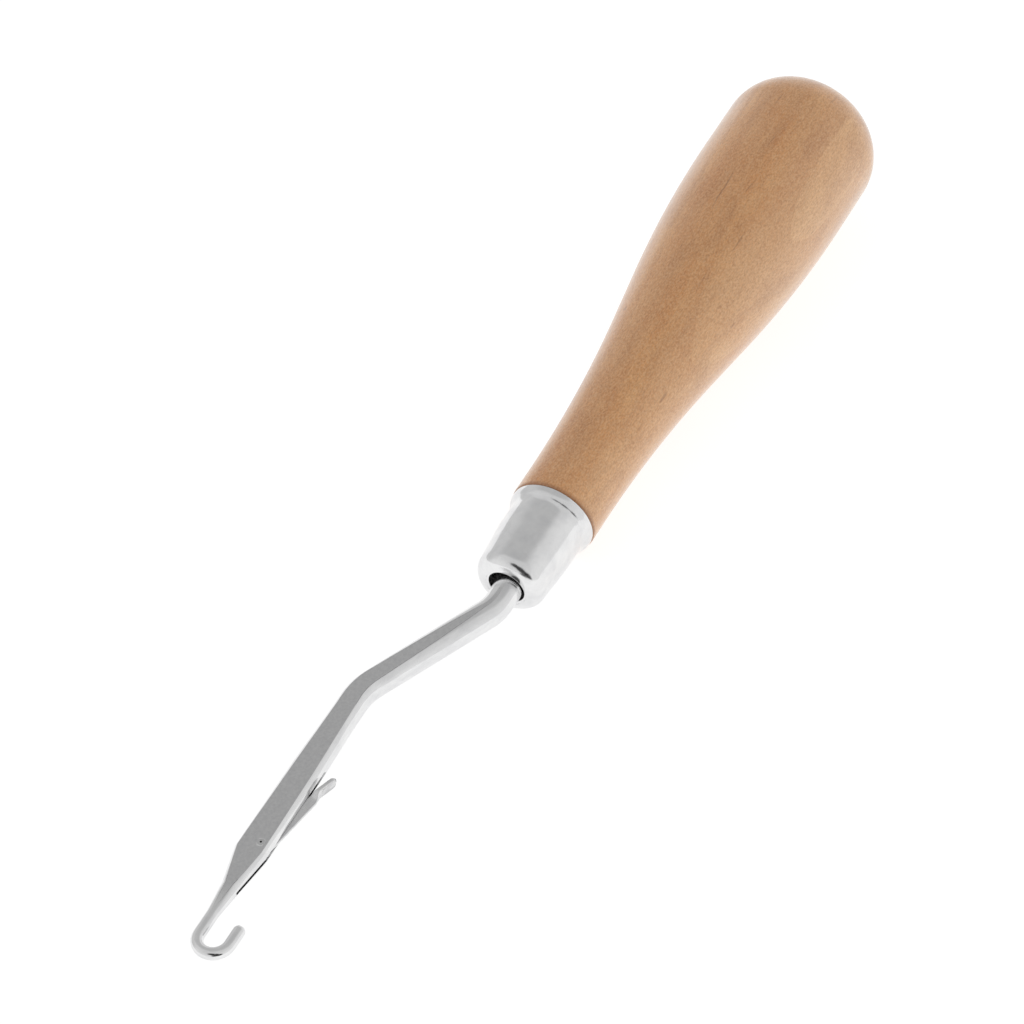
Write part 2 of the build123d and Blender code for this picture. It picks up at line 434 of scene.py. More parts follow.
        # Pale colour laid along the +y side is a painted highlight, and a darker band runs beside its
        # middle.
        painted_highlight_side = self.step(tree, place, "Y", 1.5, 9.5)
        band_rise = self.step(tree, place, "Y", -5.2, -2.6)
        band_fall = self.step(tree, place, "Y", 1.6, -1.2)
        band = node(tree, "Math", {"operation": "MULTIPLY"}, {0: band_rise, 1: band_fall})
        tone = self.two_tone(tree, self.heartwood, self.sapwood, streaks)
        for colour, share, strength in (
            # Painted highlight along the +y side.
            (self.wear_and_highlight, painted_highlight_side, 0.42),
            (self.late_wood, band.outputs[0], 0.42),
            (self.late_wood, rings, 0.34),
            (self.late_wood, fibres, 0.34),
            (self.wear_and_highlight, cloud, 0.26),
            (self.fleck, blush, 0.36),
            (self.fleck, flecks, 0.20),
            (self.fleck, pores, 0.36),
            # Painted glints: pale specks standing in for the lacquer's sparkle.
            (self.wear_and_highlight, painted_glints, 0.36),
            (self.stain, stains, 0.4),
            (self.stain, self.mineral_streak(tree, place), 0.55),
            (self.stain, crease, 0.6),
            # Painted shade: the spigot inside the ferrule is laid near black.
            (self.painted_shade_black, spigot, 1.0),
        ):
            tone = self.lay_over(tree, tone, colour, share, strength)
        # Lathe rings, under the lacquer's own soft texture.
        lathe = node(
            tree,
            "TexWave",
            {
                "bands_direction": "X",
                "Scale": WAVE_PER_MM / self.lathe_spacing,
                "Distortion": 1.5,
                "Detail": 1.0,
            },
            {"Vector": place},
        )
        height = node(tree, "Math", {"operation": "MULTIPLY", 1: 0.06}, {0: lathe.outputs[1]}).outputs[0]
        for texture, depth in ((pores, -0.5), (fibres, 0.35)):
            more = node(tree, "Math", {"operation": "MULTIPLY_ADD", 1: depth}, {0: texture, 2: height})
            height = more.outputs[0]
        bump = node(tree, "Bump", {"Strength": 0.7, "Distance": self.relief * MM}, {"Height": height})
        gloss = node(tree, "MapRange", {"To Min": 0.36, "To Max": 0.48}, {"Value": fibres})
        shader = node(
            tree,
            "BsdfPrincipled",
            {
                "IOR": 1.5,
                "Coat Weight": 0.9,
                "Coat Roughness": 0.20,
                "Coat IOR": 1.5,
                "Sheen Weight": 0.15,
                "Sheen Roughness": 0.35,
            },
            {"Base Color": tone, "Roughness": gloss.outputs[0], "Normal": bump.outputs[0]},
        )
        node(tree, "OutputMaterial", {}, {"Surface": shader.outputs[0]})
        return material


@dataclass(frozen=True)
class NickelPlate(Finish):
    """Bright nickel over steel, polished after drawing.

    The eye gets a neutral mirror that is a little soft, with faint waves from the drawing die, fine
    hairlines from handling and smudges that change its gloss.
    """

    name: str = "nickel_plate_polished"
    bright: str = "#E9E9E9"
    dull: str = "#DDDDDE"
    pit: str = "#77756F"
    gloss: Point = (0.10, 0.19)
    wave_size: Tuple[float, float, float] = (3.0, 2.2, 2.2)
    wave_height: float = 0.010
    hairline_size: Tuple[float, float, float] = (0.12, 4.5, 4.5)
    hairline_height: float = 0.0012
    smudge_size: Tuple[float, float, float] = (2.5, 2.5, 2.5)
    along_wire: bool = False
    zone: Optional[Tuple[float, float, float, float]] = None
    beyond: str = "#E3E3E3"
    beyond_gloss: float = 0.14

    def shown(self, tree: bpy.types.NodeTree, place: bpy.types.NodeSocket) -> bpy.types.NodeSocket:
        """Fades the finish in and out along the wire, into the drawn wire beyond it.

        Args:
            tree: the material's node tree.
            place: coordinates in millimetres.

        Returns:
            A value from 0 beyond the zone to 1 in it.
        """
        begin, full, leave, end = self.zone
        rise = self.step(tree, place, "X", begin, full)
        fall = self.step(tree, place, "X", end, leave)
        return node(tree, "Math", {"operation": "MULTIPLY"}, {0: rise, 1: fall}).outputs[0]

    def material(self) -> bpy.types.Material:
        """Builds the plate.

        Returns:
            The material.
        """
        material, tree = new_material(self.name)
        if self.along_wire:
            place = node(tree, "Attribute", {"attribute_name": StraightWire.ATTRIBUTE}).outputs["Vector"]
        else:
            place = self.tool_millimetres(tree)
        waves = self.pattern(tree, place, self.wave_size, (0.3, 0.7), 2.0, 0.4)
        hairlines = self.pattern(tree, place, self.hairline_size, (0.35, 0.75), 3.0, 0.6)
        smudges = self.pattern(tree, place, self.smudge_size, (0.35, 0.7), 4.0, 0.6, 0.3)
        # Pits where plating missed: about 0.1 mm, drawn a little coarser than real.
        pits = self.pattern(tree, place, (0.16, 0.16, 0.16), (0.74, 0.80), 1.0, 0.5)
        tint = self.two_tone(tree, self.bright, self.dull, smudges)
        colour = self.lay_over(tree, tint, self.pit, pits, 0.35)
        smooth, rough = self.gloss
        soft = node(tree, "MapRange", {"To Min": smooth, "To Max": rough}, {"Value": smudges})
        scuffed = node(
            tree, "Math", {"operation": "MULTIPLY_ADD", 1: 0.05}, {0: hairlines, 2: soft.outputs[0]}
        )
        wavy = node(tree, "Bump", {"Strength": 1.0, "Distance": self.wave_height * MM}, {"Height": waves})
        lined = node(
            tree,
            "Bump",
            {"Strength": 1.0, "Distance": self.hairline_height * MM},
            {"Height": hairlines, "Normal": wavy.outputs[0]},
        )
        rough = scuffed.outputs[0]
        if self.zone:
            shown = self.shown(tree, place)
            colour = node(
                tree, "Mix", {"data_type": "RGBA", 6: linear(self.beyond)}, {0: shown, 7: colour}
            ).outputs[2]
            rough = node(
                tree, "Mix", {"data_type": "FLOAT", 2: self.beyond_gloss}, {0: shown, 3: rough}
            ).outputs[0]
        shader = node(
            tree,
            "BsdfPrincipled",
            {"Metallic": 1.0},
            {"Base Color": colour, "Roughness": rough, "Normal": lined.outputs[0]},
        )
        node(tree, "OutputMaterial", {}, {"Surface": shader.outputs[0]})
        return material


# Drawn wire, barrel plated: hairlines run along it.
DRAWN_WIRE = NickelPlate(
    name="nickel_wire_drawn",
    gloss=(0.09, 0.17),
    wave_size=(6.0, 0.9, 0.9),
    wave_height=0.006,
    hairline_size=(5.0, 0.10, 0.10),
    hairline_height=0.0018,
    smudge_size=(3.0, 1.2, 1.2),
    along_wire=True,
)
# Pressed flats keep the die's ground face: an even satin.
PRESSED_WIRE = NickelPlate(
    name="nickel_wire_pressed_satin",
    bright="#CECECE",
    dull="#C1C1C2",
    gloss=(0.30, 0.38),
    wave_size=(7.0, 2.0, 2.0),
    wave_height=0.004,
    hairline_size=(0.9, 0.12, 0.12),
    hairline_height=0.0016,
    smudge_size=(0.40, 0.40, 0.40),
    along_wire=True,
    zone=(12.6, 18.0, 73.0, 77.5),
)
# Corner of a flat, where the die rubbed: a thin dull line.
DIE_LINE = NickelPlate(
    name="nickel_wire_die_line",
    bright="#7E7E7E",
    dull="#6A6A6A",
    gloss=(0.30, 0.42),
    wave_size=(1.2, 0.4, 0.4),
    hairline_size=(0.9, 0.12, 0.12),
    smudge_size=(0.8, 0.4, 0.4),
    along_wire=True,
    zone=(15.0, 21.0, 75.0, 78.0),
)
# Stamped spring steel, deburred in a tumbler and plated with the shank.
STAMPED_LATCH = NickelPlate(
    name="spring_steel_stamped_and_plated",
    bright="#DEDEDE",
    dull="#CECECF",
    gloss=(0.24, 0.34),
    wave_size=(2.2, 0.8, 0.8),
    wave_height=0.006,
    hairline_size=(1.4, 0.10, 0.10),
    hairline_height=0.0018,
    smudge_size=(1.5, 0.8, 0.8),
    along_wire=True,
)
# Cold-headed pin, with concentric marks from the peening tool.
PEENED_PIN = NickelPlate(
    name="steel_pin_peened",
    bright="#CECECE",
    dull="#BEBEBE",
    gloss=(0.30, 0.38),
    wave_size=(0.5, 0.5, 0.5),
    wave_height=0.010,
    hairline_size=(0.08, 0.08, 0.5),
    hairline_height=0.003,
    smudge_size=(0.4, 0.4, 0.4),
)
# Punch mark in the pin: painted dark grey, as the shade that falls in the dimple.
PUNCH_MARK_SHADE = NickelPlate(
    name="steel_punch_mark_painted_shade",
    bright="#3B3935",
    dull="#22201D",
    gloss=(0.45, 0.60),
    wave_size=(0.5, 0.5, 0.5),
    hairline_size=(0.08, 0.08, 0.5),
    smudge_size=(0.2, 0.2, 0.2),
)


# ---------------------------------------------------------------- mesh tools


class ProfilePen:
    """Draws half a turned section as a chain of edges: x along the axis, y the radius."""

    def __init__(self, shape: bmesh.types.BMesh, x: float, radius: float) -> None:
        """Puts the pen down at (x, radius)."""
        self.shape = shape
        self.tip = shape.verts.new((x, radius, 0))

    def line(self, *corners: Point) -> "ProfilePen":
        """Draws straight to each corner in turn.

        Args:
            corners: x and radius of each corner.

        Returns:
            The pen.
        """
        for x, radius in corners:
            drawn = bmesh.ops.extrude_vert_indiv(self.shape, verts=[self.tip])
            self.tip = drawn["verts"][0]
            self.tip.co = (x, radius, 0)
        return self

    def arc(self, x: float, radius: float, degrees: float, steps: int) -> "ProfilePen":
        """Turns the pen about a centre.

        Args:
            x: the centre's place along the axis.
            radius: the centre's distance from the axis.
            degrees: the turn, positive anticlockwise.
            steps: edges in the arc.

        Returns:
            The pen.
        """
        drawn = bmesh.ops.spin(
            self.shape,
            geom=[self.tip],
            cent=(x, radius, 0),
            axis=(0, 0, 1),
            angle=math.radians(degrees),
            steps=steps,
        )
        self.tip = next(v for v in drawn["geom_last"] if isinstance(v, bmesh.types.BMVert))
        return self


def turn_round(shape: bmesh.types.BMesh, steps: int) -> None:
    """Spins everything in the shape once about the x axis and closes its seam and poles.

    Args:
        shape: the half section.
        steps: faces round the axis.
    """
    bmesh.ops.spin(
        shape,
        geom=shape.verts[:] + shape.edges[:],
        cent=(0, 0, 0),
        axis=(1, 0, 0),
        angle=math.tau,
        steps=steps,
        use_merge=True,
    )
    bmesh.ops.remove_doubles(shape, verts=shape.verts[:], dist=1e-5)


def add_round_bar(
    shape: bmesh.types.BMesh, radius: float, depth: float, middle: Sequence[float], steps: int = 48
) -> None:
    """Adds a closed round bar that stands along z.

    Args:
        shape: empty shape to fill.
        radius: the bar's radius.
        depth: its length.
        middle: place of its middle.
        steps: faces round it.
    """
    bmesh.ops.create_cone(
        shape, cap_ends=True, segments=steps, radius1=radius, radius2=radius, depth=depth
    )
    bmesh.ops.translate(shape, vec=middle, verts=shape.verts[:])


def break_edges(
    shape: bmesh.types.BMesh, edges: Sequence[bmesh.types.BMEdge], width: float, steps: int
) -> List[bmesh.types.BMFace]:
    """Rounds edges off a little.

    Args:
        shape: the shape.
        edges: its edges to round.
        width: how far the round reaches from each edge.
        steps: faces across the round.

    Returns:
        The new faces.
    """
    broken = bmesh.ops.bevel(
        shape,
        geom=edges,
        offset=width,
        offset_type="OFFSET",
        affect="EDGES",
        segments=steps,
        profile=0.5,
        material=-1,
        clamp_overlap=True,
    )
    return broken["faces"]


def add_object(name: str, shape: bmesh.types.BMesh) -> bpy.types.Object:
    """Turns a shape into an object in the scene.

    Args:
        name: the object's name.
        shape: the shape in metres. It is freed.

    Returns:
        The object, at the origin.
    """
    mesh = bpy.data.meshes.new(name)
    shape.to_mesh(mesh)
    shape.free()
    made = bpy.data.objects.new(name, mesh)
    bpy.context.scene.collection.objects.link(made)
    return made


@dataclass(frozen=True)
class Section:
    """A cross section of formed wire, at a place on its path.

    across and height are half sizes, face is half the thickness between the flats, and lift moves the
    section across the path. hollow and hollow_depth press a groove into its outer side.
    """

    place: Vector
    heading: float
    run: float
    across: float
    height: float
    face: float
    square: float = 2.0
    hollow: float = 0.0
    hollow_depth: float = 0.0


class StraightWire:
    """Builds a closed bar through sections, and remembers where each point was before bending."""

    ATTRIBUTE = "wire_mm"
    SIDE_COLUMNS = 20
    FLAT_COLUMNS = 12
    LEAST_FLAT = math.radians(82)

    def __init__(self, shape: bmesh.types.BMesh) -> None:
        """Starts a bar in the shape."""
        self.shape = shape
        self.memory = shape.verts.layers.float_vector.new(self.ATTRIBUTE)
        self.columns = 2 * (self.SIDE_COLUMNS + self.FLAT_COLUMNS)

    def corner(self, section: Section) -> float:
        """Works out where the flat cuts a section.

        Args:
            section: the section.

        Returns:
            The angle from the section's side.
        """
        if section.face >= section.height:
            return self.LEAST_FLAT
        return min(math.asin(section.face / section.height), self.LEAST_FLAT)

    def angle(self, column: int, corner: float) -> float:
        """Angle of a column of points, so that the same columns always stand on the flats' edges.

        Args:
            column: number of the column.
            corner: angle at which the flat cuts the section.

        Returns:
            The angle, anticlockwise from the section's outer side.
        """
        half, rest = divmod(column, self.columns // 2)
        if rest < self.FLAT_COLUMNS:
            share = rest / self.FLAT_COLUMNS
            angle = corner + share * (math.pi - 2 * corner)
        else:
            share = (rest - self.FLAT_COLUMNS) / self.SIDE_COLUMNS
            angle = math.pi - corner + share * 2 * corner
        return angle + half * math.pi

    def on_section(self, section: Section, column: int) -> Tuple[float, float]:
        """Place of one point in its section.

        Args:
            section: the section.
            column: number of the column.

        Returns:
            How far across the path and how high the point lies.
        """
        angle = self.angle(column, self.corner(section))
        power = 2 / section.square
        across = math.copysign(abs(math.cos(angle)) ** power, math.cos(angle)) * section.across
        height = math.copysign(abs(math.sin(angle)) ** power, math.sin(angle)) * section.height
        height = max(-section.face, min(section.face, height))
        if section.hollow and across > 0 and abs(height) < section.hollow:
            groove = section.across - section.hollow_depth + section.hollow
            across = min(across, groove - math.sqrt(section.hollow**2 - height**2))
        return across, height

    def put(self, vert: bmesh.types.BMVert, section: Section, column: int) -> None:
        """Moves a point to its place on a section.

        Args:
            vert: the point.
            section: the section.
            column: number of the column.
        """
        across, height = self.on_section(section, column)
        outward = Vector((-math.sin(section.heading), math.cos(section.heading), 0))
        vert.co = section.place + outward * across + Vector((0, 0, height))
        vert[self.memory] = (section.run, across, height)

    def draw(self, sections: Sequence[Section]) -> List[List[bmesh.types.BMVert]]:
        """Extrudes a ring of points through all the sections and closes both ends.

        Args:
            sections: the sections in order.

        Returns:
            The rings of points.
        """
        ring = bmesh.ops.create_circle(self.shape, segments=self.columns, radius=1)["verts"]
        for column, vert in enumerate(ring):
            self.put(vert, sections[0], column)
        rings = [list(ring)]
        bmesh.ops.edgeloop_fill(self.shape, edges=self.loop(ring))
        for section in sections[1:]:
            old = rings[-1]
            drawn = bmesh.ops.extrude_edge_only(self.shape, edges=self.loop(old))
            fresh = {v for v in drawn["geom"] if isinstance(v, bmesh.types.BMVert)}
            ring = [next(e.other_vert(v) for e in v.link_edges if e.other_vert(v) in fresh) for v in old]
            for column, vert in enumerate(ring):
                self.put(vert, section, column)
            rings.append(ring)
        bmesh.ops.edgeloop_fill(self.shape, edges=self.loop(rings[-1]))
        return rings

    def loop(self, ring: Sequence[bmesh.types.BMVert]) -> List[bmesh.types.BMEdge]:
        """Edges of a ring of points, in order."""
        pairs = zip(ring, [*ring[1:], ring[0]])
        return [edge for a, b in pairs if (edge := self.shape.edges.get((a, b))) is not None]

    def flat_edges(self, rings: Sequence[Sequence[bmesh.types.BMVert]]) -> List[bmesh.types.BMEdge]:
        """Edges along the four borders of the pressed flats.

        Args:
            rings: rings of points from draw.

        Returns:
            The edges.
        """
        half = self.columns // 2
        borders = (0, self.FLAT_COLUMNS, half, half + self.FLAT_COLUMNS)
        found = (self.shape.edges.get((a[c], b[c])) for a, b in zip(rings, rings[1:]) for c in borders)
        return [edge for edge in found if edge is not None]

    def press(self, rings: Sequence[Sequence[bmesh.types.BMVert]]) -> None:
        """Gives the faces between the flats' borders the pressed finish.

        Args:
            rings: rings of points from draw.
        """
        half = self.columns // 2
        flats = {c + start for c in range(self.FLAT_COLUMNS) for start in (0, half)}
        for old, ring in zip(rings, rings[1:]):
            for column in flats:
                following = (column + 1) % self.columns
                corners = (old[column], old[following], ring[following], ring[column])
                face = self.shape.faces.get(corners)
                if face is not None:
                    face.material_index = Zone.PRESSED.value


def ease(start: float, end: float, value: float) -> float:
    """Smooth step from 0 at start to 1 at end."""
    share = max(0.0, min(1.0, (value - start) / (end - start)))
    return share * share * (3 - 2 * share)


def blend(start: float, end: float, value: float, low: float, high: float) -> float:
    """Straight step from low at start to high at end."""
    share = max(0.0, min(1.0, (value - start) / (end - start)))
    return low + share * (high - low)


# ---------------------------------------------------------------- pieces


@dataclass
class Piece(ABC):
    """A piece of the tool: its mesh, its finish and the body that it rides on."""

    name: str = ""
    node_name: str = ""
    slot: str = ""
    body: Body = Body.TOOL
    finishes: Tuple[Finish, ...] = ()

    @abstractmethod
    def shape(self, shape: bmesh.types.BMesh) -> None:
        """Builds the mesh in tool coordinates, in millimetres."""

    def cutters(self) -> List[bpy.types.Object]:
        """Shapes to cut away from the piece, in frame coordinates."""
        return []

    def laid_down(self, shape: bmesh.types.BMesh, name: str) -> bpy.types.Object:
        """Turns a shape into an object that lies in the frame.

        Args:
            shape: the shape in tool millimetres. It is freed.
            name: the object's name.

        Returns:
            The object, at the origin, with its place in its mesh.
        """
        bmesh.ops.recalc_face_normals(shape, faces=shape.faces[:])
        bmesh.ops.transform(shape, matrix=PLACE, verts=shape.verts[:])
        return add_object(name, shape)

    def cut(self, made: bpy.types.Object) -> None:
        """Cuts the piece with its cutters and removes them.

        Args:
            made: the piece's object.
        """
        for cutter in self.cutters():
            difference = made.modifiers.new("cut", "BOOLEAN")
            difference.operation = "DIFFERENCE"
            difference.solver = "EXACT"
            difference.object = cutter
            bpy.context.view_layer.update()
            graph = bpy.context.evaluated_depsgraph_get()
            mesh = bpy.data.meshes.new_from_object(made.evaluated_get(graph))
            made.modifiers.clear()
            made.data = mesh
            mesh.name = made.name
            bpy.data.objects.remove(cutter)

    def build(self) -> bpy.types.Object:
        """Builds the piece, dresses it and ties it to the frame.

        Returns:
            The object.
        """
        shape = bmesh.new()
        self.shape(shape)
        made = self.laid_down(shape, self.name)
        # The finishes come before the cut, so that the cut keeps each face's slot.
        for finish in self.finishes:
            made.data.materials.append(finish.material())
        self.cut(made)
        for polygon in made.data.polygons:
            polygon.use_smooth = True
        made.data.set_sharp_from_angle(angle=SHARP_ANGLE)
        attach(made, self.body.value)
        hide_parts(self.node_name)
        logger.info("%s: %d faces, rides on %s", self.name, len(made.data.polygons), self.body.value)
        return made


@dataclass
class Handle(Piece):
    """Turned beech handle with a belly, a crowned butt and a hidden spigot."""

    name: str = "handle_beech"
    node_name: str = "handle"
    slot: str = "beech"
    finishes: Tuple[Finish, ...] = (LacqueredBeech(),)
    length: float = 86.09
    neck_radius: float = 6.15
    belly_radius: float = 11.285
    hollow_corner: float = 19.1
    crest_corner: float = 55.9
    hollow_run: float = 15.0
    crest_run: float = 13.0
    crown_height: float = 6.2
    edge_round: float = 8.0
    neck_edge_round: float = 0.3
    spigot_radius: float = 4.9
    spigot_length: float = 10.2
    spigot_chamfer: float = 0.6
    tang_radius: float = 2.36
    tang_depth: float = 39.5
    steps: int = 144

    def shape(self, shape: bmesh.types.BMesh) -> None:
        """Draws the half section and turns it.

        Args:
            shape: empty shape to fill.
        """
        rise = self.belly_radius - self.neck_radius
        flank = math.atan2(rise, self.crest_corner - self.hollow_corner)
        hollow_radius = self.hollow_run / math.tan(flank / 2)
        crest_radius = self.crest_run / math.tan(flank / 2)
        crown_radius = (self.belly_radius**2 + self.crown_height**2) / (2 * self.crown_height)
        crown_x = crown_radius - self.length
        edge_rise = self.belly_radius - self.edge_round
        edge_x = crown_x - math.sqrt((crown_radius - self.edge_round) ** 2 - edge_rise**2)
        edge_angle = math.degrees(math.atan2(edge_rise, edge_x - crown_x))
        hollow_x = self.hollow_run - self.hollow_corner
        crest_x = -(self.crest_corner + self.crest_run)
        crest_start = (
            crest_x + crest_radius * math.sin(flank),
            self.belly_radius - crest_radius * (1 - math.cos(flank)),
        )
        neck_round = self.neck_edge_round
        pen = ProfilePen(shape, -self.tang_depth, 0)
        pen.line((-self.tang_depth, self.tang_radius), (self.spigot_length, self.tang_radius))
        chamfer = self.spigot_chamfer
        pen.line((self.spigot_length, self.spigot_radius - chamfer))
        pen.line((self.spigot_length - chamfer, self.spigot_radius), (0, self.spigot_radius))
        pen.line((0, self.neck_radius - neck_round))
        pen.arc(-neck_round, self.neck_radius - neck_round, 90, 6)
        pen.line((hollow_x, self.neck_radius))
        pen.arc(hollow_x, self.neck_radius + hollow_radius, -math.degrees(flank), 26)
        pen.line(crest_start)
        pen.arc(crest_x, self.belly_radius - crest_radius, math.degrees(flank), 22)
        pen.line((edge_x, self.belly_radius))
        pen.arc(edge_x, edge_rise, edge_angle - 90, 24)
        pen.arc(crown_x, 0, 180 - edge_angle, 20)
        turn_round(shape, self.steps)


@dataclass
class Ferrule(Piece):
    """Drawn nickel-plated cup with a flared rim and a mouth rolled inwards round the wire."""

    name: str = "ferrule_nickel"
    node_name: str = "ferrule"
    slot: str = "nickel_plate"
    finishes: Tuple[Finish, ...] = (NickelPlate(),)
    length: float = 13.6
    wall: float = 0.5
    rim_radius: float = 6.05
    rim_band: float = 0.45
    rim_edge_round: float = 0.14
    flare_length: float = 1.9
    barrel_radius: float = 5.4
    taper_start: float = 5.5
    barrel_end: float = 7.0
    taper_steps: int = 4
    front_radius: float = 5.0
    front_round: float = 2.0
    mouth_radius: float = 2.6
    dish: float = 0.06
    steps: int = 160

    def shape(self, shape: bmesh.types.BMesh) -> None:
        """Draws the wall's section as a closed loop and turns it.

        Args:
            shape: empty shape to fill.
        """
        edge = self.rim_edge_round
        # The flare is an S of two equal arcs.
        fall = self.rim_radius - self.barrel_radius
        turn = 2 * math.atan2(fall, self.flare_length)
        bend = self.flare_length / 2 / math.sin(turn)
        bend_degrees = math.degrees(turn)
        lip = self.wall / 2
        shoulder_x = self.length - self.front_round
        shoulder_r = self.front_radius - self.front_round
        inner_front = self.length - self.wall
        inner_barrel = self.barrel_radius - self.wall
        pen = ProfilePen(shape, 0, self.rim_radius - self.wall)
        start = pen.tip
        pen.line((0, self.rim_radius - edge))
        pen.arc(edge, self.rim_radius - edge, -90, 6)
        pen.line((self.rim_band, self.rim_radius))
        pen.arc(self.rim_band, self.rim_radius - bend, -bend_degrees, 10)
        flare_end = self.rim_band + self.flare_length
        pen.arc(flare_end, self.barrel_radius + bend, bend_degrees, 10)
        pen.line((self.taper_start, self.barrel_radius))
        for step in range(self.taper_steps + 1):
            x = self.barrel_end + step / self.taper_steps * (shoulder_x - self.barrel_end)
            radius = blend(self.taper_start, shoulder_x, x, self.barrel_radius, self.front_radius)
            pen.line((x, radius))
        pen.arc(shoulder_x, shoulder_r, -90, 22)
        # The face runs in to the lip with a shallow dish, and the lip rolls in to the mouth.
        face_x = self.length - self.dish
        lip_r = self.mouth_radius + lip
        pen.line((face_x, lip_r + 0.1), (face_x, lip_r))
        pen.arc(face_x - lip, lip_r, -180, 14)
        pen.line((inner_front - self.dish, shoulder_r + 0.2), (inner_front, shoulder_r))
        pen.arc(shoulder_x, shoulder_r, 90, 10)
        pen.line((self.barrel_end, inner_barrel), (flare_end, inner_barrel))
        pen.line((self.rim_band, self.rim_radius - self.wall))
        bmesh.ops.contextual_create(shape, geom=[pen.tip, start])
        turn_round(shape, self.steps)


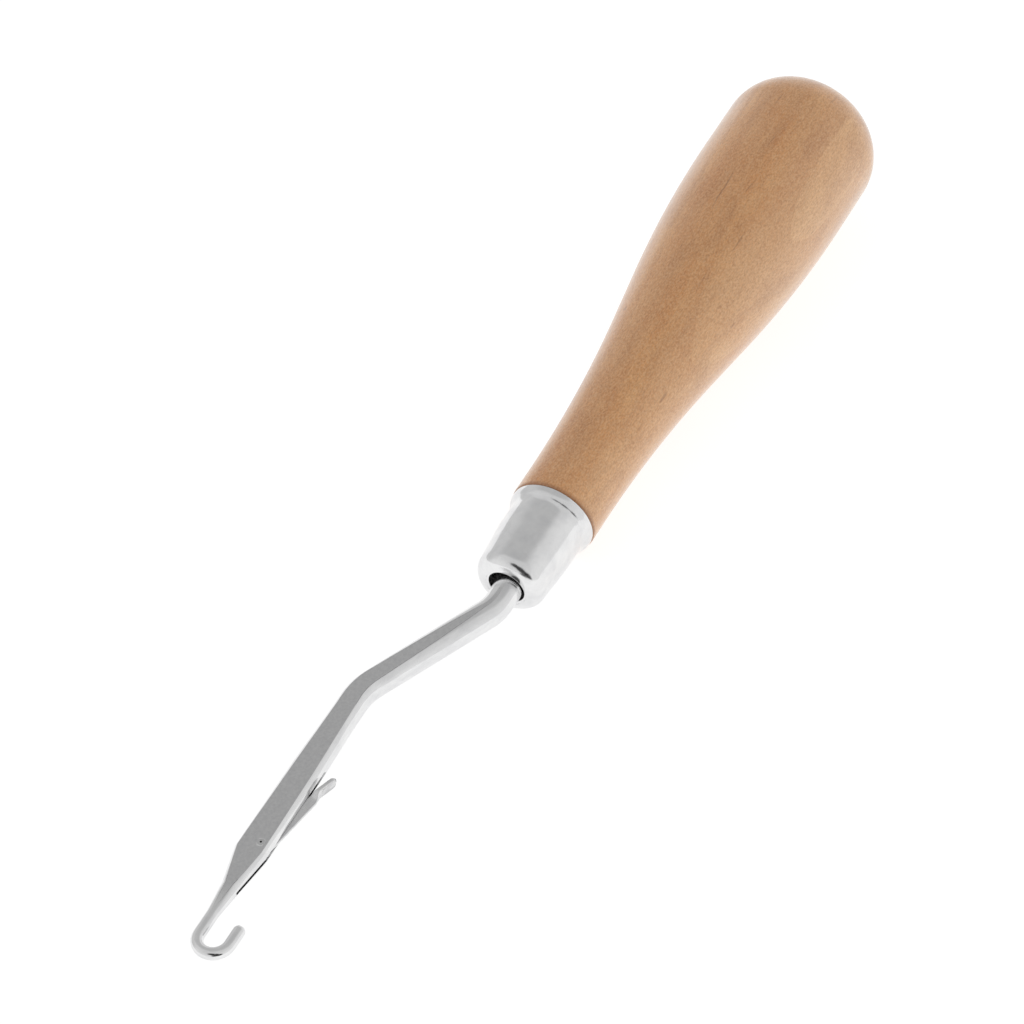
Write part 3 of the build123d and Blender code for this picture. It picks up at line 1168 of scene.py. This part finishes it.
@dataclass
class HookShank(Piece):
    """One wire: tang, crank, pressed head with the latch's slot, neck and hook."""

    name: str = "hook_shank_wire"
    node_name: str = "hook_shank"
    slot: str = "nickel_wire"
    finishes: Tuple[Finish, ...] = (DRAWN_WIRE, PRESSED_WIRE, DIE_LINE)
    wire_radius: float = 2.0
    tang_length: float = 38.0
    tang_point: float = 1.3
    shoulder: Tuple[float, float, float] = (10.8, 12.0, 2.5)
    first_bend: float = 18.3
    tang_offset: float = 0.35
    crank_degrees: float = 26.0
    head_y: float = -9.05
    bend_radii: Point = (6.0, 9.0)
    press_start: float = 18.3
    press_end: float = 53.0
    head_start: float = 40.5
    head_end: float = 66.0
    head_half_width: float = 2.3
    press_half_height: float = 1.85
    head_half_height: float = 2.0
    press_half_thickness: float = 1.35
    head_half_thickness: float = 1.3
    neck_start: float = 71.6
    neck_half_width: float = 1.3
    neck_half_height: float = 1.15
    neck_shift: float = 0.3
    hook_wire_radius: float = 0.852
    hook_wire_start: float = 76.0
    hook_radius: float = 2.18
    hook_centre: float = 79.4
    tip_length: float = 2.25
    slot_half_width: float = 0.24
    saw_radius: float = 25.0
    saw_centre: float = 62.0
    saw_steps: int = 360
    slot_floor: float = 0.65
    pivot: Point = (64.5, -8.2)
    pin_radius: float = 0.5
    edge_break: float = 0.1
    near_steps: int = 10
    crank_steps: int = 10
    far_steps: int = 12
    hook_steps: int = 32
    tip_steps: int = 9

    def face(self, x: float) -> float:
        """Works out how far the flats lie from the wire's middle.

        Args:
            x: place along the tool.

        Returns:
            Half the thickness between the flats.
        """
        pressed, head = self.press_half_thickness, self.head_half_thickness
        if x < self.press_end:
            slope = (self.wire_radius - pressed) / (self.press_end - self.press_start)
            return pressed + slope * (self.press_end - x)
        if x < self.head_end:
            return blend(self.press_end, self.head_end, x, pressed, head)
        return blend(self.head_end, self.hook_wire_start, x, head, self.hook_wire_radius)

    def half_sizes(self, x: float) -> Point:
        """Half width and half height of the wire at a place along the tool.

        Args:
            x: the place, on the straight part or the crank.

        Returns:
            Half width in the bend's plane, and half height square to it.
        """
        wire = self.wire_radius
        if x <= self.head_start:
            return wire, wire
        if x <= self.head_end:
            width = wire + ease(self.head_start, self.press_end, x) * (self.head_half_width - wire)
            dip = ease(self.head_start, self.press_end, x) - ease(self.press_end, self.head_end, x)
            return width, wire - dip * (wire - self.press_half_height)
        if x <= self.neck_start:
            return (
                blend(self.head_end, self.neck_start, x, self.head_half_width, self.neck_half_width),
                blend(self.head_end, self.neck_start, x, self.head_half_height, self.neck_half_height),
            )
        return (
            blend(self.neck_start, self.hook_wire_start, x, self.neck_half_width, self.hook_wire_radius),
            blend(self.neck_start, self.hook_wire_start, x, self.neck_half_height, self.hook_wire_radius),
        )

    def section(self, x: float, y: float, heading: float, run: float) -> Section:
        """Section of the wire at a place on its path.

        Args:
            x: place along the tool.
            y: place across the tool.
            heading: direction of the path, in radians.
            run: length of wire up to there.

        Returns:
            The section.
        """
        across, height = self.half_sizes(x)
        return Section(Vector((x, y, 0)), heading, run, across, height, self.face(x))

    def tang_sections(self) -> List[Section]:
        """Pointed tang, straight wire and the swaged shoulder, up to the first bend.

        Returns:
            The sections.
        """
        start, end, wide = self.shoulder
        wire = self.wire_radius
        first_start = self.bend_start().x
        radii = [
            (-self.tang_length, wire - self.tang_point),
            (-self.tang_length + self.tang_point, wire),
            (0.0, wire),
            (start - 0.02, wire),
            (start, wide - 0.2),
            (start + 0.2, wide),
            (end - 0.35, wide),
            (end - 0.12, wide - 0.1),
            (end, wide - 0.33),
            (end + 0.02, wire + 0.04),
            (end + 0.15, wire),
            (first_start - 1.5, wire),
        ]
        return [Section(Vector((x, self.tang_offset, 0)), 0.0, x, r, r, 2 * r) for x, r in radii]

    def bend_start(self) -> Vector:
        """Works out where the first bend leaves the tang's line.

        Returns:
            The place in tool coordinates.
        """
        crank = math.radians(self.crank_degrees)
        corner = self.first_bend - self.tang_offset / math.tan(crank)
        return Vector((corner - self.bend_radii[0] * math.tan(crank / 2), self.tang_offset, 0))

    def crank_sections(self) -> List[Section]:
        """Both bends and the straight between them.

        Returns:
            The sections.
        """
        crank = math.radians(self.crank_degrees)
        near, far = self.bend_radii
        second = self.first_bend - self.head_y / math.tan(crank)
        begin = self.bend_start()
        made: List[Section] = []
        for step in range(self.near_steps + 1):
            angle = crank * step / self.near_steps
            x = begin.x + near * math.sin(angle)
            y = begin.y - near * (1 - math.cos(angle))
            made.append(self.section(x, y, -angle, begin.x + near * angle))
        start = made[-1]
        leave = Vector((second, self.head_y, 0)) - Vector((math.cos(crank), -math.sin(crank), 0)) * (
            far * math.tan(crank / 2)
        )
        stretch = (leave - start.place).length
        for step in range(1, self.crank_steps):
            share = step / self.crank_steps
            spot = start.place.lerp(leave, share)
            made.append(self.section(spot.x, spot.y, -crank, start.run + stretch * share))
        end_x = second + far * math.tan(crank / 2)
        for step in range(self.far_steps + 1):
            angle = crank * (1 - step / self.far_steps)
            x = end_x - far * math.sin(angle)
            y = self.head_y + far * (1 - math.cos(angle))
            made.append(self.section(x, y, -angle, start.run + stretch + far * (crank - angle)))
        return made

    def head_sections(self, before: Section) -> List[Section]:
        """Head, taper and neck, up to the round wire of the hook.

        Args:
            before: last section of the crank.

        Returns:
            The sections.
        """
        places: List[float] = []
        start = before.place.x
        for end, count in ((self.head_end, 22), (self.neck_start, 6), (self.hook_wire_start, 6)):
            places += [start + (end - start) * step / count for step in range(1, count + 1)]
            start = end
        made = []
        for x in places:
            y = blend(self.head_end, self.neck_start, x, self.head_y, self.head_y + self.neck_shift)
            made.append(self.section(x, y, 0.0, before.run + x - before.place.x))
        return made

    def hook_sections(self, before: Section) -> List[Section]:
        """Hook and its domed tip.

        Args:
            before: last section of the neck.

        Returns:
            The sections.
        """
        radius = self.hook_wire_radius
        y = self.head_y + self.neck_shift
        centre = Vector((self.hook_centre, y + self.hook_radius, 0))
        run = before.run + self.hook_centre - before.place.x
        made = []
        for step in range(self.hook_steps + 1):
            angle = math.pi * step / self.hook_steps
            spot = centre + Vector((math.sin(angle), -math.cos(angle), 0)) * self.hook_radius
            made.append(Section(spot, angle, run + angle * self.hook_radius, radius, radius, radius))
        tip = made[-1].place - Vector((self.tip_length, 0, 0))
        run = made[-1].run + self.tip_length
        for step in range(self.tip_steps):
            angle = math.pi / 2 * step / self.tip_steps
            shrink = radius * math.cos(angle)
            ahead = radius * math.sin(angle)
            spot = tip - Vector((ahead, 0, 0))
            made.append(Section(spot, math.pi, run + ahead, shrink, shrink, radius))
        return made

    def shape(self, shape: bmesh.types.BMesh) -> None:
        """Draws the wire through all its sections and breaks the flats' edges.

        Args:
            shape: empty shape to fill.
        """
        wire = StraightWire(shape)
        sections = self.tang_sections() + self.crank_sections()
        sections += self.head_sections(sections[-1])
        rings = wire.draw(sections + self.hook_sections(sections[-1]))
        _, shoulder_end, _ = self.shoulder
        flats = [r for r, s in zip(rings, sections) if s.place.x > shoulder_end + 0.1]
        wire.press(flats)
        for face in break_edges(shape, wire.flat_edges(flats), self.edge_break, 2):
            x = face.calc_center_median().x
            if x < self.head_start or x > self.neck_start - 1:
                face.material_index = Zone.DIE_LINE.value

    def cutters(self) -> List[bpy.types.Object]:
        """Slitting saw that cuts the slot, and the drill for the pin.

        Returns:
            The cutters.
        """
        saw = bmesh.new()
        saw_y = self.head_y - self.slot_floor + self.saw_radius
        middle = (self.saw_centre, saw_y, 0)
        add_round_bar(saw, self.saw_radius, 2 * self.slot_half_width, middle, self.saw_steps)
        trimmed = bmesh.ops.bisect_plane(
            saw,
            geom=saw.verts[:] + saw.edges[:] + saw.faces[:],
            plane_co=(self.hook_wire_start - 1, 0, 0),
            plane_no=(1, 0, 0),
            clear_outer=True,
        )
        rim = [e for e in trimmed["geom_cut"] if isinstance(e, bmesh.types.BMEdge)]
        bmesh.ops.edgeloop_fill(saw, edges=rim)
        drill = bmesh.new()
        add_round_bar(drill, self.pin_radius, 4 * self.wire_radius, (*self.pivot, 0))
        return [self.laid_down(saw, "saw"), self.laid_down(drill, "drill")]


@dataclass
class Latch(Piece):
    """Stamped blade that swings in the slot, with a cupped spoon that closes on the hook's tip."""

    name: str = "latch_blade"
    node_name: str = "latch"
    slot: str = "latch_steel"
    body: Body = Body.LATCH
    finishes: Tuple[Finish, ...] = (STAMPED_LATCH,)
    pivot: Point = (64.5, -8.2)
    open_degrees: float = 166.4
    length: float = 13.8403
    half_thickness: float = 0.2
    eye_radius: float = 1.25
    eye_hole: float = 0.54
    blade_end: float = 10.5
    blade_outer: float = 0.55
    blade_inner: float = 0.75
    spoon_half_width: float = 0.8
    spoon_half_thickness: float = 0.36
    spoon_kick: float = 6.5
    spoon_drop: float = -0.3
    cup_radius: float = 0.96
    cup_depth: float = 0.3
    root_half_depth: float = 0.62
    root_start: float = -0.9
    root_lift: float = -0.1
    blade_square: float = 7.0
    spoon_square: float = 3.5

    def shape(self, shape: bmesh.types.BMesh) -> None:
        """Draws the latch from its eye to the spoon's round end.

        Args:
            shape: empty shape to fill.
        """
        wire = StraightWire(shape)
        wire.draw(self.blade_sections() + self.spoon_sections())

    def place(self, along: float, out: float) -> Vector:
        """Point of the latch in tool coordinates, from its own.

        Args:
            along: distance from the pin towards the spoon.
            out: distance towards the side that faces out when the latch lies back.

        Returns:
            The point.
        """
        angle = math.radians(self.open_degrees)
        ahead = Vector((math.cos(angle), math.sin(angle), 0))
        outward = Vector((math.sin(angle), -math.cos(angle), 0))
        return Vector((*self.pivot, 0)) + ahead * along + outward * out

    def flat_section(self, along: float, outer: float, inner: float) -> Section:
        """Section of the blade between its two edges.

        Args:
            along: distance from the pin.
            outer: the outer edge's place.
            inner: the inner edge's place.

        Returns:
            The section.
        """
        heading = math.radians(self.open_degrees) - math.pi
        middle = self.place(along, (outer + inner) / 2)
        thick = self.half_thickness
        return Section(
            middle, heading, along, (outer - inner) / 2, thick, 2 * thick, self.blade_square
        )

    def blade_sections(self) -> List[Section]:
        """Round eye and tapering blade.

        Returns:
            The sections.
        """
        made = []
        for step in range(1, 11):
            along = -self.eye_radius * math.cos(math.pi / 2 * step / 10)
            reach = math.sqrt(max(self.eye_radius**2 - along**2, 1e-4))
            made.append(self.flat_section(along, reach, -reach))
        straight = self.blade_end - 1.1
        for step in range(1, 13):
            along = straight * step / 12
            outer = blend(0, self.blade_end, along, self.eye_radius, self.blade_outer)
            inner = -blend(0, self.blade_end, along, self.eye_radius, self.blade_inner)
            made.append(self.flat_section(along, outer, inner))
        return made

    def spoon_sections(self) -> List[Section]:
        """Forged root and cupped spoon.

        Returns:
            The sections.
        """
        kick = math.radians(self.spoon_kick)
        spoon = self.length - self.blade_end
        made = []
        stations = [-0.75, -0.5, -0.3, -0.1, 0.1, 0.3, 0.55, 0.8, 1.1, 1.4, 1.7, 2.0, 2.3]
        straight = spoon - self.spoon_half_width
        rounds = [straight + self.spoon_half_width * math.sin(math.pi / 2 * i / 9) for i in range(1, 9)]
        for along in [s for s in stations if s < straight] + rounds:
            rooted = ease(self.root_start, 0.45, along)
            over = max(0.0, along - straight)
            width = math.sqrt(max(self.spoon_half_width**2 - over**2, 1e-4))
            half = self.half_thickness + rooted * (width - self.half_thickness)
            deep = self.spoon_half_thickness * (1 - 0.45 * ease(straight, spoon, along))
            across = self.root_half_depth + rooted * (deep - self.root_half_depth)
            drop = blend(self.root_start, 0.3, along, self.root_lift, self.spoon_drop)
            spot = self.place(
                self.blade_end + along * math.cos(kick), drop + max(0.0, along) * math.sin(kick)
            )
            heading = math.radians(self.open_degrees - self.spoon_kick * rooted) - math.pi
            cup = self.cup_radius if along > 0.5 else 0.0
            depth = self.cup_depth * ease(0.4, 1.2, along)
            square = self.blade_square - (self.blade_square - self.spoon_square) * rooted
            run = self.blade_end + along
            made.append(Section(spot, heading, run, across, half, 2 * half, square, cup, depth))
        return made

    def cutters(self) -> List[bpy.types.Object]:
        """Punch for the eye's hole.

        Returns:
            The cutter.
        """
        punch = bmesh.new()
        add_round_bar(punch, self.eye_hole, 10 * self.half_thickness, (*self.pivot, 0))
        return [self.laid_down(punch, "punch")]


@dataclass
class LatchPin(Piece):
    """Rivet flush with both faces of the head, with a punched dimple in each end."""

    name: str = "latch_pin_rivet"
    node_name: str = "latch_pin"
    slot: str = "pin_steel"
    # The punch marks' finish is dark grey, painted shade in the dimples.
    finishes: Tuple[Finish, ...] = (PEENED_PIN, PUNCH_MARK_SHADE)
    pivot: Point = (64.5, -8.2)
    radius: float = 0.5
    half_length: float = 1.31
    edge_break: float = 0.01
    dimple_radius: float = 0.15
    dimple_depth: float = 0.16

    def shape(self, shape: bmesh.types.BMesh) -> None:
        """Makes the rivet with broken edges and dimples.

        Args:
            shape: empty shape to fill.
        """
        add_round_bar(shape, self.radius, 2 * self.half_length, (0, 0, 0))
        ends = [f for f in shape.faces if abs(f.normal.z) > 0.9]
        break_edges(shape, [e for f in ends for e in f.edges], self.edge_break, 3)
        for face in [f for f in shape.faces if abs(f.normal.z) > 0.99]:
            land = self.radius - self.edge_break - self.dimple_radius
            bmesh.ops.inset_region(shape, faces=[face], thickness=land, use_even_offset=True)
            inward = Vector((0, 0, -math.copysign(self.dimple_depth / 2, face.normal.z)))
            for narrower in (0.3, 0.4):
                sides = bmesh.ops.inset_region(
                    shape, faces=[face], thickness=narrower * self.dimple_radius, use_even_offset=True
                )
                bmesh.ops.translate(shape, vec=inward, verts=face.verts[:])
                for side in [*sides["faces"], face]:
                    side.material_index = PinFace.PUNCHED.value
        bmesh.ops.translate(shape, vec=(*self.pivot, 0), verts=shape.verts[:])


# ---------------------------------------------------------------- studio


@dataclass(frozen=True)
class Patch:
    """A round part of the light tent that is brighter or darker than the rest."""

    towards: Tuple[float, float, float]
    inner_degrees: float
    outer_degrees: float
    radiance: float


@dataclass
class Studio:
    """White light tent on a pale floor, and the camera."""

    wall: float = 0.86
    zenith: float = 0.72
    cloth: float = 1.05
    patches: Tuple[Patch, ...] = (
        Patch((-0.52, -0.05, 0.85), 22, 40, 0.545),
        Patch((-0.53, -0.62, 0.58), 16, 34, 0.56),
        Patch((-0.20, -0.93, 0.10), 22, 48, 0.66),
        Patch((0.74, 0.38, 0.55), 13, 18, 0.03),
        Patch((0.71, 0.10, 0.70), 9, 14, 0.03),
        Patch((0.68, 0.68, 0.27), 11, 16, 0.03),
        Patch((0.90, 0.42, 0.14), 7, 13, 0.05),
    )
    floor_size: float = 40.0
    floor_tone: str = "#9C9C9C"
    floor_glow: float = 0.84
    eye: Tuple[float, float, float] = (343.534, 209.946, 444.902)
    right: Tuple[float, float, float] = (-0.458987, 0.885229, -0.075494)
    back: Tuple[float, float, float] = (0.569248, 0.358262, 0.740004)
    lens: float = 158.182
    sensor: float = 36.0

    def build(self) -> None:
        """Builds the tent, the floor and the camera."""
        self.tent()
        self.floor()
        self.camera()
        bpy.context.scene.view_settings.view_transform = "Standard"

    def tent(self) -> None:
        """Lights the scene from a tent whose brightness depends on direction only."""
        world = bpy.data.worlds.new("light_tent")
        bpy.context.scene.world = world
        world.use_nodes = True
        tree = world.node_tree
        tree.nodes.clear()
        sky = node(tree, "TexCoord")
        parts = node(tree, "SeparateXYZ", {}, {0: sky.outputs["Generated"]})
        radiance = node(
            tree,
            "MapRange",
            {
                "interpolation_type": "SMOOTHSTEP",
                "From Min": 0.15,
                "From Max": 0.95,
                "To Min": self.wall,
                "To Max": self.zenith,
            },
            {"Value": parts.outputs["Z"]},
        ).outputs[0]
        for patch in self.patches:
            towards = PLACE.to_3x3() @ Vector(patch.towards)
            along = node(
                tree,
                "VectorMath",
                {"operation": "DOT_PRODUCT", 1: towards.normalized()},
                {0: sky.outputs["Generated"]},
            )
            share = node(
                tree,
                "MapRange",
                {
                    "interpolation_type": "SMOOTHSTEP",
                    "From Min": math.cos(math.radians(patch.outer_degrees)),
                    "From Max": math.cos(math.radians(patch.inner_degrees)),
                },
                {"Value": along.outputs["Value"]},
            )
            radiance = node(
                tree,
                "Mix",
                {"data_type": "FLOAT", 3: patch.radiance},
                {0: share.outputs[0], 2: radiance},
            ).outputs[0]
        # Seen directly, the tent's cloth is as white as the floor.
        path = node(tree, "LightPath")
        seen = node(
            tree,
            "Mix",
            {"data_type": "FLOAT", 3: self.cloth},
            {0: path.outputs["Is Camera Ray"], 2: radiance},
        )
        light = node(tree, "Background", {"Color": (1.0, 1.0, 1.0, 1.0)}, {"Strength": seen.outputs[0]})
        node(tree, "OutputWorld", {}, {"Surface": light.outputs[0]})

    def floor(self) -> None:
        """Lays a pale sheet that glows like a lit table and can be seen through from below."""
        shape = bmesh.new()
        bmesh.ops.create_grid(shape, x_segments=8, y_segments=8, size=self.floor_size / 2)
        bmesh.ops.translate(shape, vec=(0, 0, cad_low.z), verts=shape.verts[:])
        sheet = add_object("floor", shape)
        material, tree = new_material("floor_white_acrylic")
        matt = node(tree, "BsdfDiffuse", {"Color": linear(self.floor_tone)})
        glow = node(tree, "Emission", {"Color": (1.0, 1.0, 1.0, 1.0), "Strength": self.floor_glow})
        lit = node(tree, "AddShader", {}, {0: matt.outputs[0], 1: glow.outputs[0]})
        clear = node(tree, "BsdfTransparent")
        side = node(tree, "NewGeometry")
        one_way = node(
            tree, "MixShader", {}, {0: side.outputs["Backfacing"], 1: lit.outputs[0], 2: clear.outputs[0]}
        )
        node(tree, "OutputMaterial", {}, {"Surface": one_way.outputs[0]})
        sheet.data.materials.append(material)

    def camera(self) -> None:
        """Sets the camera up over the hook's side, a little turned about its own axis."""
        turn = PLACE.to_3x3().normalized()
        right = (turn @ Vector(self.right)).normalized()
        back = (turn @ Vector(self.back)).normalized()
        up = back.cross(right)
        camera = bpy.data.cameras.new("camera")
        camera.lens = self.lens
        camera.sensor_width = self.sensor
        camera.clip_start = 0.01
        holder = bpy.data.objects.new("camera", camera)
        bpy.context.scene.collection.objects.link(holder)
        facing = Matrix((right, up, back)).transposed().to_4x4()
        holder.matrix_world = Matrix.Translation(PLACE @ Vector(self.eye)) @ facing
        bpy.context.scene.camera = holder


def main() -> None:
    """Builds the studio and every piece in order."""
    logging.basicConfig(level=logging.INFO, format="%(message)s")
    Studio().build()
    for piece in (Handle(), Ferrule(), HookShank(), Latch(), LatchPin()):
        piece.build()


if __name__ == "__main__":
    main()
